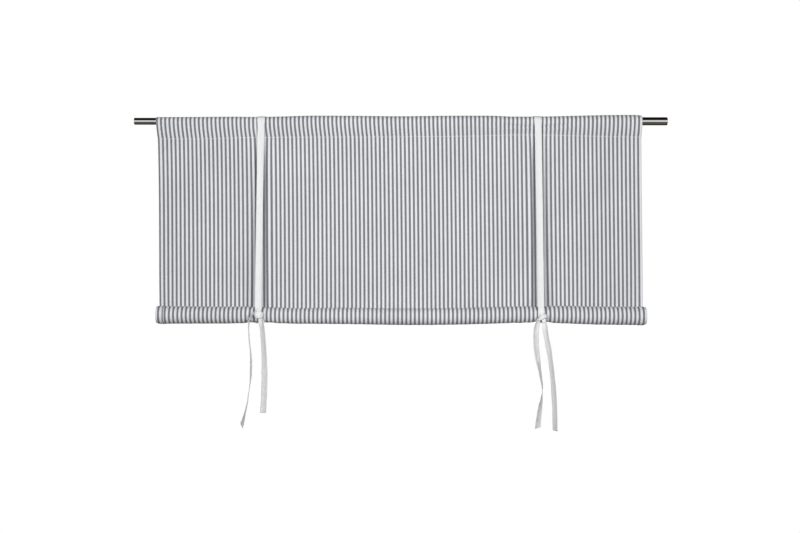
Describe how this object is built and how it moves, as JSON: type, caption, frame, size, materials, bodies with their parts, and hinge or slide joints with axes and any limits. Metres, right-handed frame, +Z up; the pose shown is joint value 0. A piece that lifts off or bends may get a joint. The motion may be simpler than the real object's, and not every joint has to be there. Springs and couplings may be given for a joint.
{
  "type": "tie-up roll blind",
  "caption": "Flat striped cotton blind hung by a sewn pocket on a telescopic rod, its lower part rolled up and held by knotted tapes.",
  "frame": {"origin": "on the rod's axis, at the middle of the right-hand bracket's seat, 20 mm in from the outer tube's right end", "axes": "+X along the rod to the right, +Y into the wall, +Z up; the blind's front faces -Y"},
  "size_m": [1.312, 0.0643, 0.7712],
  "materials": {
    "polished_steel": "bright polished",
    "striped_cotton": "plain woven cotton, grey and white stripes",
    "cotton_tape": "plain woven white cotton tape"
  },
  "bodies": {
    "rod_outer": {"rod_outer_tube": "polished_steel"},
    "rod_inner": {"rod_inner_tube": "polished_steel"},
    "blind": {"blind_cloth": "striped_cotton", "left_tie": "cotton_tape", "right_tie": "cotton_tape", "left_tie_left_tail": "cotton_tape", "left_tie_right_tail": "cotton_tape", "right_tie_left_tail": "cotton_tape", "right_tie_right_tail": "cotton_tape"}
  },
  "joints": [
    {"name": "rod_telescope", "type": "slide", "parent": "rod_outer", "child": "rod_inner", "axis": [-1, 0, 0], "range_m": [-0.025, 0.288]},
    {"name": "blind_slide", "type": "slide", "parent": "rod_outer", "child": "blind", "axis": [1, 0, 0], "range_m": [-0.025, 0.031]}
  ]
}
